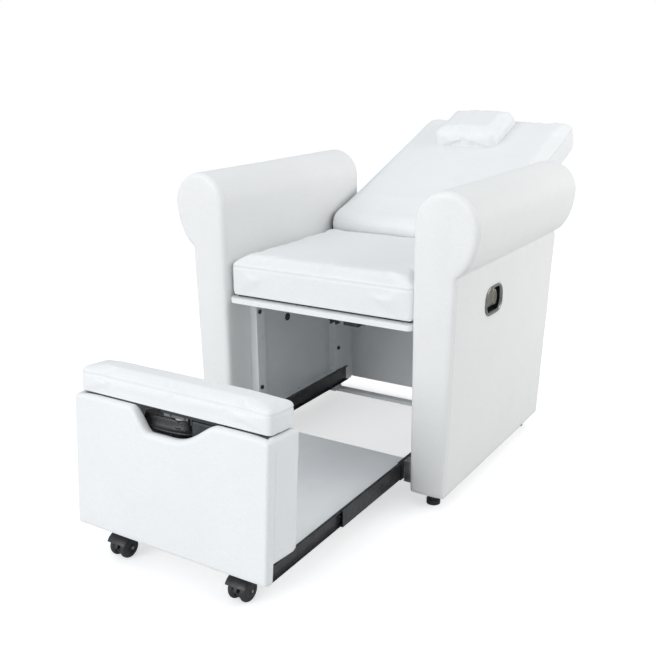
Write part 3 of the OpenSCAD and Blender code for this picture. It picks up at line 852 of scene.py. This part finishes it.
displace(pillow, pillow_folds)
tree = tree_of(pillow)
PILLOW_MID, PILLOW_LEVEL, SEAM_INSET = 0.545, BACK_HALF_T + 0.012, 0.014
threads = []
for name, side, x in (("pillow_thread_left", -1, pillow_lo.x + SEAM_INSET),
                      ("pillow_thread_right", 1, pillow_hi.x - SEAM_INSET)):
    ring = arc(PILLOW_MID, PILLOW_LEVEL, 0.2, range(-10, 191, 3))
    starts = [back_point(x, u, v) for u, v in ring]
    path, outs = surface_path(tree, starts, [back_point(x, PILLOW_MID, PILLOW_LEVEL)] * len(ring))
    groove(pillow, path, 0.0014, 0.0022)
    seam = path - outs * 0.0003 - np.array([side * 0.004, 0, 0])
    threads.append(stitch_line(name, seam, outs, *FINE_STITCH))
ride_all("pillow", pillow, *threads, slot="leatherette")
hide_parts("headrest_pillow")

# ---------------- leg pad

pad = block("pad_cover", (-0.2515, 0.0135, 0.301), (0.2515, 0.0985, 0.354), box_point,
            0.013, 0.012, 0.004, hide)
remesh(pad, 0.0045)
box_up = np.array(box_point(0, 0, 1)) - np.array(box_point(0, 0, 0))
box_back = np.array(box_point(0, 1, 0)) - np.array(box_point(0, 0, 0))
box_zero = np.array(box_point(0, 0, 0))


def pad_cap(co, out):
    return 0.0014 + 0.0075 * np.clip(out @ box_up, 0, 1) ** 2 + 0.0012 * np.clip(-(out @ box_back), 0, 1)


def pad_floor(co, rest):
    low = (rest - box_zero) @ box_up < 0.304
    co[low] = rest[low]
    return co


inflate(pad, 4, pad_cap, pad_floor)
subdivide(pad)
displace(pad, lambda co, out: rough_noise(co, 14, 4) * 0.0007 * np.clip(out @ box_up, 0, 1))
tree = tree_of(pad)
path, outs = rim_path(tree, (-0.2535, 0.012), (0.2535, 0.1), 0.013, 0.340, box_point)
groove(pad, path, 0.0013, 0.0019)
STITCH_OFF_SEAM = 0.0042
pad_threads = [stitch_line("pad_thread_" + name, path - outs * 0.0003 + box_up * off, outs, *FINE_STITCH)
               for name, off in (("upper", STITCH_OFF_SEAM), ("lower", -STITCH_OFF_SEAM))]
JOIN_X = 0.006
join = np.arange(0.308, 0.339, 0.002)
path, outs = surface_path(tree, [box_point(JOIN_X, -0.05, z) for z in join],
                          [box_point(JOIN_X, 0.05, z) for z in join])
groove(pad, path, 0.0009, 0.0016)
pad_tool = block("pad_tool", (-0.2362, 0.0218, 0.28), (0.2362, 0.0902, 0.3132), box_point,
                 0.002, 0.001, 0.001, hide)
cut(pad, pad_tool)
ride_all("foot_pad", pad, *pad_threads, slot="leatherette")
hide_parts("pad_cushion")

# ---------------- footrest box shell

RIM_Z, SIDE_Z, SCOOP_Z = 0.2995, 0.2985, 0.250
SCOOP_LEFT, SCOOP_RIGHT = (-0.100, -0.044), (0.136, 0.004)


def rim_height(x):
    """Height of the front panel's top edge: rounded down at its ends, with the finger scoop."""
    end, foot = SCOOP_LEFT if x < 0 else SCOOP_RIGHT
    t = min(1.0, max(0.0, (x - foot) / (end - foot)))
    rise = (1 - math.cos(math.pi * t ** (1.0 if x < 0 else 1.4))) / 2
    drop = 0.004 * max(0.0, (abs(x) - 0.19) / (HALF_BOX - 0.19)) ** 2.5
    return SCOOP_Z + (RIM_Z - SCOOP_Z) * rise - drop


FOOT_Y, FOOT_STEP = FRONT_T - 0.0008, 0.002
SIDE_LOW, REAR_LOW = 0.0385, 0.0415


FRONT_BELLY = 0.0028


def box_loops():
    """Matching outer and inner points round the box, with how far each lies along the front."""
    spans = []
    outer_r, inner_r = 0.0075, 0.0006
    ox, oy0, oy1 = HALF_BOX, 0.0, BOX_D
    ix, iy0, iy1 = HALF_BOX - SIDE_T, FRONT_T, BOX_D - SIDE_T

    def side(a_out, b_out, a_in, b_in, n):
        for k in range(n):
            t = k / n
            spans.append([tuple(p + (q - p) * t for p, q in zip(a, b))
                          for a, b in ((a_out, b_out), (a_in, b_in))])

    def corner(oc, ic, a0):
        for k in range(8):
            a = math.radians(a0 + 90 * k / 8)
            spans.append(((oc[0] + outer_r * math.cos(a), oc[1] + outer_r * math.sin(a)),
                          (ic[0] + inner_r * math.cos(a), ic[1] + inner_r * math.sin(a))))

    # Along a side, from the front: outer and inner y, and the steps to the next pair.
    marks = [(oy0 + outer_r, iy0 + inner_r, 6), (FOOT_Y, iy0 + 0.0008, 3),
             (FOOT_Y + FOOT_STEP, iy0 + 0.0026, 18), (oy1 - outer_r, iy1 - inner_r, 0)]
    pairs = list(zip(marks, marks[1:]))
    side((-ox + outer_r, oy0), (ox - outer_r, oy0), (-ix + inner_r, iy0), (ix - inner_r, iy0), 150)
    corner((ox - outer_r, oy0 + outer_r), (ix - inner_r, iy0 + inner_r), -90)
    for (ya, va, n), (yb, vb, _) in pairs:
        side((ox, ya), (ox, yb), (ix, va), (ix, vb), n)
    corner((ox - outer_r, oy1 - outer_r), (ix - inner_r, iy1 - inner_r), 0)
    side((ox - outer_r, oy1), (-ox + outer_r, oy1), (ix - inner_r, iy1), (-ix + inner_r, iy1), 80)
    corner((-ox + outer_r, oy1 - outer_r), (-ix + inner_r, iy1 - inner_r), 90)
    for (ya, va, n), (yb, vb, _) in reversed(pairs):
        side((-ox, yb), (-ox, ya), (-ix, vb), (-ix, va), n)
    corner((-ox + outer_r, oy0 + outer_r), (-ix + inner_r, iy0 + inner_r), 180)
    return spans


def box_shell():
    """Upholstered walls: a rounded section carried round the box, rising to the rim at the front."""
    verts = []
    spans = box_loops()
    top_turn = [math.radians(a) for a in range(0, 91, 18)]
    foot_turn = [math.radians(a) for a in range(0, 91, 30)]
    for (ox, oy), (ix, iy) in spans:
        t = math.dist((ox, oy), (ix, iy))
        low = min(SIDE_LOW, max(0.0, oy - FOOT_Y) / FOOT_STEP * SIDE_LOW)
        if oy > BOX_D - 0.01:
            low = REAR_LOW
        ahead = max(0.0, 1 - oy / 0.02)
        top = SIDE_Z * (1 - ahead) + rim_height(ox) * ahead
        top -= 0.003 * (1 - ahead) * max(0.0, 1 - (BOX_D - oy) / 0.012)
        r, rb = 0.009, 0.005
        section = [(0.0, low + rb + (top - r - low - rb) * k / 40) for k in range(41)]
        section += [(r - r * math.cos(a), top - r + r * math.sin(a)) for a in top_turn[1:]]
        section += [(t - r + r * math.sin(a), top - r + r * math.cos(a)) for a in top_turn]
        section += [(t, top - r + (low + rb - top + r) * k / 10) for k in range(1, 11)]
        section += [(t - rb + rb * math.cos(a), low + rb - rb * math.sin(a)) for a in foot_turn[1:]]
        section += [(rb - rb * math.sin(a), low + rb - rb * math.cos(a)) for a in foot_turn[:-1]]
        rows = len(section)
        for w, z in section:
            f = w / t
            x, y = ox + (ix - ox) * f, oy + (iy - oy) * f
            if f < 1e-6 and oy < 0.0005:
                rise = math.sin(math.pi * min(1, max(0, z / BOX_H)))
                y -= FRONT_BELLY * rise * math.cos(math.pi * x / (2 * HALF_BOX))
            verts.append(box_point(x, y, z))
    faces = []
    for i in range(len(spans)):
        a, b = i * rows, ((i + 1) % len(spans)) * rows
        faces += [[a + k, b + k, b + (k + 1) % rows, a + (k + 1) % rows] for k in range(rows)]
    o = make_object("footrest_box_cover", verts, faces, hide)
    co, out = coords(o), normals(o)
    ripple = rough_noise(co, 11, 6) * 0.0006 + rough_noise(co, 30, 1) * 0.0002
    depth = (co - box_zero) @ np.array([0, math.cos(BOX_LEAN), -math.sin(BOX_LEAN)])
    ripple[(np.abs(co[:, 0]) < HALF_BOX - 0.004) & (depth > 0.006)] = 0
    co += out * ripple[:, None]
    set_coords(o, co)
    return o


shell = box_shell()
tree = tree_of(shell)
tab = prism("box_rear_foot", [(-0.2305, 0.0145), (0.2305, 0.0145), (0.2305, 0.046), (-0.2305, 0.046)],
            lambda u, v, w: box_point(u, w, v), BOX_D - SIDE_T + 0.001, BOX_D - 0.001, base_painted_light)
SEAM_Y = 0.0245
seam_z = np.arange(0.05, 0.274, 0.004)
path, outs = surface_path(tree, [box_point(HALF_BOX + 0.05, SEAM_Y, z) for z in seam_z],
                          [box_point(0, SEAM_Y, z) for z in seam_z])
box_thread_right = stitch_line("box_thread_right", path, outs)
box_thread_left = stitch_line("box_thread_left", path * MIRROR, outs * MIRROR)
ride_all("footrest_drawer", shell, box_thread_right, box_thread_left, slot="leatherette")
ride_all("footrest_drawer", tab, slot="white_paint")
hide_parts("box_front_panel", "box_side_panels", "box_rear_panel")

# ---------------- lift cowl


def oval(a, half_x, half_y, mid_x, mid_y):
    """Point of a squarish oval at angle a."""
    c, s = math.cos(a), math.sin(a)
    return (mid_x + half_x * math.copysign(abs(c) ** 0.8, c),
            mid_y + half_y * math.copysign(abs(s) ** 0.8, s))


def lift_cowl():
    """Flared cover of the lift column: rolled lip, concave flank, rounded crown and the column's bores."""
    cowl_lo, cowl_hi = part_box("lift_collar")
    mid_y, half_y = 0.0545, 0.0290
    half_x, mid_x = (cowl_hi.x - cowl_lo.x) / 2 + 0.004, (cowl_hi.x + cowl_lo.x) / 2 - 0.004
    profile = [(0.2515, 0.0035), (0.2500, 0.0012), (0.2512, 0.0), (0.2540, 0.0003), (0.2552, 0.0018),
               (0.2560, 0.0046), (0.2578, 0.0072), (0.2608, 0.0094), (0.2650, 0.0110), (0.2700, 0.0118),
               (0.2745, 0.0122), (0.2766, 0.0130), (0.2776, 0.0148)]
    turn = [2 * math.pi * k / 96 for k in range(96)]
    rings = []
    for z, inset in profile:
        wide, deep = half_x - inset * 1.5, half_y - inset * 0.75
        rings.append([box_point(*oval(a, wide, deep, mid_x, mid_y), z) for a in turn])
    for z, r in ((0.2776, 0.0182), (0.2770, 0.0176), (0.2630, 0.0176), (0.2628, 0.0204), (0.2515, 0.0204)):
        rings.append([box_point(r * math.cos(a), mid_y + r * math.sin(a), z) for a in turn])
    verts = [p for ring in rings for p in ring]
    return make_object("lift_cowl", verts, ring_faces(len(turn), len(rings)), grained_mould)


cowl = lift_cowl()
ride_all("footrest_drawer", cowl, slot="black_plastic")
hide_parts("lift_collar")

# ---------------- casters


def domed_wheel(name, node, outward):
    """Moulded wheel: barrel tread, domed cap with a ring groove, recessed back and blind axle bore."""
    lo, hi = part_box(node)
    r, wide = (hi.z - lo.z) / 2, hi.x - lo.x
    mid_y, mid_z = (lo.y + hi.y) / 2, (lo.z + hi.z) / 2
    inner_x = lo.x if outward > 0 else hi.x
    bore, pip, cap_r = 0.0032, 0.0002, 0.0085
    profile = [(bore, 0.0), (0.012, 0.0), (0.0135, 0.0015), (0.019, 0.0018), (0.0205, 0.0),
               (r - 0.005, 0.0)]
    for k in range(13):
        a = math.radians(-58 + 58 * k / 12)
        fall = (1 - math.cos(a)) / (1 - math.cos(math.radians(58)))
        profile.append((r - 0.005 * fall * 0.98, 0.0004 + 0.0075 * k / 12))
    for k in range(1, 19):
        a = math.radians(90 * k / 18)
        profile.append((cap_r + (r - cap_r) * math.cos(a) ** 0.62,
                        0.0079 + (wide - 0.0096) * math.sin(a)))
    profile += [(0.0083, wide - 0.0024), (0.0078, wide - 0.0022), (0.0070, wide - 0.0009),
                (0.004, wide - 0.0001), (pip, wide), (pip, wide - 0.0007), (bore, wide - 0.0007)]
    verts, faces = lathe(profile, lambda u, v, w: (inner_x + outward * w, mid_y + u, mid_z + v))
    return make_object(name, verts, faces, tread)


def caster_hood(name, node, axle_node):
    """Rounded hood over both wheels, web with the axle bore, stem and swivel plate."""
    lo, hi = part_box(node)
    axle_lo, axle_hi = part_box(axle_node)
    mid = (axle_lo + axle_hi) / 2
    stem_y = mid.y + 0.020
    section = [(-0.0268, 0.0256), (-0.0266, 0.0268), (-0.0254, 0.0282), (-0.0225, 0.0289), (0.0225, 0.0289),
               (0.0254, 0.0282), (0.0266, 0.0268), (0.0268, 0.0256), (0.0256, 0.0256), (0.0248, 0.0263),
               (-0.0248, 0.0263), (-0.0256, 0.0256)]
    spine = [(-0.0046, 0.0150), (-0.0046, 0.0266), (0.0046, 0.0266), (0.0046, 0.0150)]
    verts, faces = [], []
    for outline, low, high, steps in ((section, 6, 152, 48), (spine, 4, 176, 48)):
        first, n = len(verts), len(outline)
        for k in range(steps + 1):
            a = math.radians(low + (high - low) * k / steps)
            verts += [(mid.x + x, mid.y + r * math.cos(a), mid.z + r * math.sin(a)) for x, r in outline]
        faces += ring_faces(n, steps + 1, first, closed=False)
        faces += [[first + i for i in range(n)], [first + steps * n + i for i in range(n)][::-1]]
    web = [(0.0031, -0.0046), (0.0185, -0.0046), (0.0197, -0.0034), (0.0200, 0.0), (0.0197, 0.0034),
           (0.0185, 0.0046), (0.0031, 0.0046)]
    stem = [(0.0002, 0.0365), (0.0085, 0.0365), (0.009, 0.037), (0.009, hi.z - 0.009),
            (0.0102, hi.z - 0.007), (0.0128, hi.z - 0.0056), (0.0188, hi.z - 0.0046),
            (0.0198, hi.z - 0.0036), (0.0198, hi.z - 0.0006), (0.0192, hi.z), (0.0002, hi.z)]
    for profile, place in ((web, lambda u, v, w: (mid.x + w, mid.y + u, mid.z + v)),
                           (stem, lambda u, v, w: (mid.x + u, stem_y + v, w))):
        points, quads = lathe(profile, place, 64)
        faces += [[i + len(verts) for i in q] for q in quads]
        verts += points
    o = make_object(name, verts, faces, black_mould)
    soften_edges(o, 0.0006, 2, 50)
    apply_modifiers(o)
    return o


for side in ("left", "right"):
    hood = caster_hood("caster_hood_" + side, "caster_fork_" + side, "caster_axle_" + side)
    ride_all(side + "_caster", hood, slot="black_plastic")
    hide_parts("caster_fork_" + side)
    for which in ("outer", "inner"):
        node = "wheel_" + side + "_" + which
        outward = 1 if (side == "right") == (which == "outer") else -1
        wheel = domed_wheel(node + "_tyre", node, outward)
        ride_all(side + "_" + which + "_wheel", wheel, slot="wheel_rubber")
        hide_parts(node)

# ---------------- release handle


def bezel_rim():
    """Dished metal rim round the handle's cup."""
    lo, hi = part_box("handle_bezel")
    corner = 0.031
    section = [(0.0, 0.0), (0.0, 0.0045), (0.0008, 0.0064), (0.0026, 0.0077), (0.0048, 0.0078),
               (0.0066, 0.0068), (0.0082, 0.0048), (0.0092, 0.0022), (0.0094, 0.0)]
    verts = []
    for inset, out in section:
        ring = rect_ring((lo.y + inset, lo.z + inset), (hi.y - inset, hi.z - inset), corner - inset)
        verts += [(lo.x + out, y, z) for y, z in ring]
    return make_object("handle_bezel_rim", verts, ring_faces(48, len(section)), bezel_metal)


def lever_plate():
    """Pull plate of the release: crowned face, thumb hollow, raised free end, barrel on the pin."""
    lo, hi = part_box("release_lever")
    pin_lo, pin_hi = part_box("handle_pin")
    pin_x, pin_y = (pin_lo.x + pin_hi.x) / 2, (pin_lo.y + pin_hi.y) / 2
    pin_r, mid_z, half = (pin_hi.x - pin_lo.x) / 2, (lo.z + hi.z) / 2, (hi.z - lo.z) / 2
    end_y = hi.y + 0.006
    plate = block("release_lever_plate", (pin_y + pin_r + 0.0008, -half, -0.001), (end_y, half, 0.005),
                  lambda u, v, w: (pin_x + w, u, mid_z + v), 0.010, 0.0012, 0.0008, lever_metal)
    remesh(plate, 0.0011)
    smooth(plate, 2)
    co = coords(plate)
    along = (co[:, 1] - pin_y) / (end_y - pin_y)
    across = (co[:, 2] - mid_z) / half
    lift = 0.0045 * (1 - across ** 2) * along + 0.0035 * np.exp(-((along - 0.93) / 0.07) ** 2)
    lift -= 0.0022 * np.exp(-((along - 0.68) / 0.17) ** 2 - (across / 0.55) ** 2)
    co[:, 0] += lift
    set_coords(plate, co)
    verts = [tuple(p) for p in co]
    faces = [list(f.vertices) for f in plate.data.polygons]
    bpy.data.objects.remove(plate)
    barrel = [(pin_r + 0.0001, -half), (0.0055, -half), (0.006, -half + 0.0005), (0.006, half - 0.0005),
              (0.0055, half), (pin_r + 0.0001, half)]
    points, quads = lathe(barrel, lambda u, v, w: (pin_x + u, pin_y + v, mid_z + w), 48)
    faces += [[i + len(verts) for i in q] for q in quads]
    return make_object("release_lever_plate", verts + points, faces, lever_metal)


bezel = bezel_rim()
ride_all("chair_frame", bezel, slot="chrome")
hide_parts("handle_bezel")
lever = lever_plate()
ride_all("lever", lever, slot="zinc")
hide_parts("release_lever")

# ---------------- CAD nodes that stay

NODE_LOOKS = {
    board: ("inner_panels", "back_panel", "pad_board"),
    seat_painted_light: ("seat_board",),
    base_painted_light: ("base_board", "back_board"),
    steel_paint: ("front_posts", "rear_posts", "seat_rails", "lower_rails", "seat_crossbars",
                  "rear_floor_bar"),
    black_coat: ("slide_outers", "slide_middle_left", "slide_middle_right", "slide_inners", "hinge_plates",
                 "back_side_plates", "recline_crank", "spring_mount", "gas_spring_cylinder", "lift_tube",
                 "frame_bolts", "pad_mount_plate"),
    # cushion_base is black as painted shade: a dark sheet in the shadow gap under the seat cushion.
    black_mould: ("cushion_base", "panel_caps", "arm_glides", "handle_cup", "spring_release_head"),
    zinc: ("slide_brackets", "slide_screws", "handle_pin", "hinge_pins", "caster_axle_left",
           "caster_axle_right"),
    chrome: ("handle_screws", "spring_bolt", "gas_spring_rod", "lift_piston_tube"),
    bezel_metal: ("pad_clamp",),
    grey_mould: ("side_peg",),
    paddle_coat: ("pad_paddle",),
}
# Edge radii in millimetres, where they are not 0.6.
BEVELS = {"seat_board": 1.6, "base_board": 1.2, "arm_glides": 1.5, "side_peg": 1.5, "frame_bolts": 1.2}

for material, names in NODE_LOOKS.items():
    for name in names:
        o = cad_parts[name]
        o.data.materials.clear()
        o.data.materials.append(material)
        if "custom_normal" in o.data.attributes:
            o.data.attributes.remove(o.data.attributes["custom_normal"])
        o.data.polygons.foreach_set("use_smooth", [True] * len(o.data.polygons))
        weld = o.modifiers.new("weld", "WELD")
        weld.merge_threshold = 0.00002
        soften_edges(o, BEVELS.get(name, 0.6) * MM, 3, 38)
        even = o.modifiers.new("even", "WEIGHTED_NORMAL")
        even.keep_sharp = True

# ---------------- floor, light, camera

def studio():
    m, shader = new_material("pale_floor")
    g = Graph(m)
    colour = g.mix(g.noise(0.7, detail=2.0), (0.70, 0.70, 0.70), (0.68, 0.68, 0.685))
    g.link(colour, shader.inputs["Base Color"])
    g.bump(shader, (g.noise(90), 0.00002))
    shader.inputs["Roughness"].default_value = 0.75
    shader.inputs["Emission Color"].default_value = (1, 1, 1, 1)
    path = m.node_tree.nodes.new("ShaderNodeLightPath")
    g.link(g.math("MULTIPLY", path.outputs["Is Camera Ray"], 0.56), shader.inputs["Emission Strength"])
    floor = make_object("studio_floor", [(-9, -9, 0), (9, -9, 0), (9, 9, 0), (-9, 9, 0)], [[0, 1, 2, 3]], m)

    world = bpy.data.worlds.new("studio")
    scene.world = world
    world.use_nodes = True
    tree = world.node_tree
    tree.nodes.clear()
    out = tree.nodes.new("ShaderNodeOutputWorld")
    seen = tree.nodes.new("ShaderNodeBackground")
    lit = tree.nodes.new("ShaderNodeBackground")
    mix = tree.nodes.new("ShaderNodeMixShader")
    path = tree.nodes.new("ShaderNodeLightPath")
    seen.inputs[0].default_value = (1, 1, 1, 1)
    seen.inputs[1].default_value = 1.0
    lit.inputs[0].default_value = (0.93, 0.97, 1.0, 1)
    lit.inputs[1].default_value = 0.70
    tree.links.new(path.outputs["Is Camera Ray"], mix.inputs[0])
    tree.links.new(lit.outputs[0], mix.inputs[1])
    tree.links.new(seen.outputs[0], mix.inputs[2])
    tree.links.new(mix.outputs[0], out.inputs[0])

    def area(name, place, aim, size, watts, colour):
        light = bpy.data.lights.new(name, "AREA")
        light.shape = "RECTANGLE"
        light.size, light.size_y = size
        light.energy = watts
        light.color = colour
        o = bpy.data.objects.new(name, light)
        o.location = place
        o.rotation_euler = (Vector(aim) - Vector(place)).to_track_quat("-Z", "Y").to_euler()
        scene.collection.objects.link(o)

    area("front_softbox", (-2.4, -8.0, 3.6), (0, 0, 0.4), (5.0, 4.0), 310, (1.0, 1.0, 1.0))
    area("side_softbox", (2.5, 1.5, 1.5), (0.5, 1.4, 0.6), (2.0, 1.8), 30, (1.0, 0.96, 0.91))
    area("top_softbox", (0, -0.3, 3.4), (0, -0.2, 0.4), (3.0, 3.0), 9, (1.0, 1.0, 1.0))


CAMERA_PLACE = (1.1637, front_y - 1.7829, 1.0547)
CAMERA_LENS = 49.363
CAMERA_TURN = (32.1569, -16.7948, -0.5979)


def camera():
    data = bpy.data.cameras.new("camera")
    data.sensor_width = 36
    data.lens = CAMERA_LENS
    data.clip_start = 0.05
    o = bpy.data.objects.new("camera", data)
    yaw, pitch, roll = (math.radians(a) for a in CAMERA_TURN)
    ahead = Vector((-math.sin(yaw) * math.cos(pitch), math.cos(yaw) * math.cos(pitch), math.sin(pitch)))
    right = Vector((math.cos(yaw), math.sin(yaw), 0))
    up = right.cross(ahead)
    right_r = right * math.cos(roll) + up * math.sin(roll)
    up_r = -right * math.sin(roll) + up * math.cos(roll)
    turn = Matrix((right_r, up_r, -ahead)).transposed().to_4x4()
    o.matrix_world = Matrix.Translation(CAMERA_PLACE) @ turn
    scene.collection.objects.link(o)
    scene.camera = o


studio()
camera()
scene.view_settings.view_transform = "Standard"
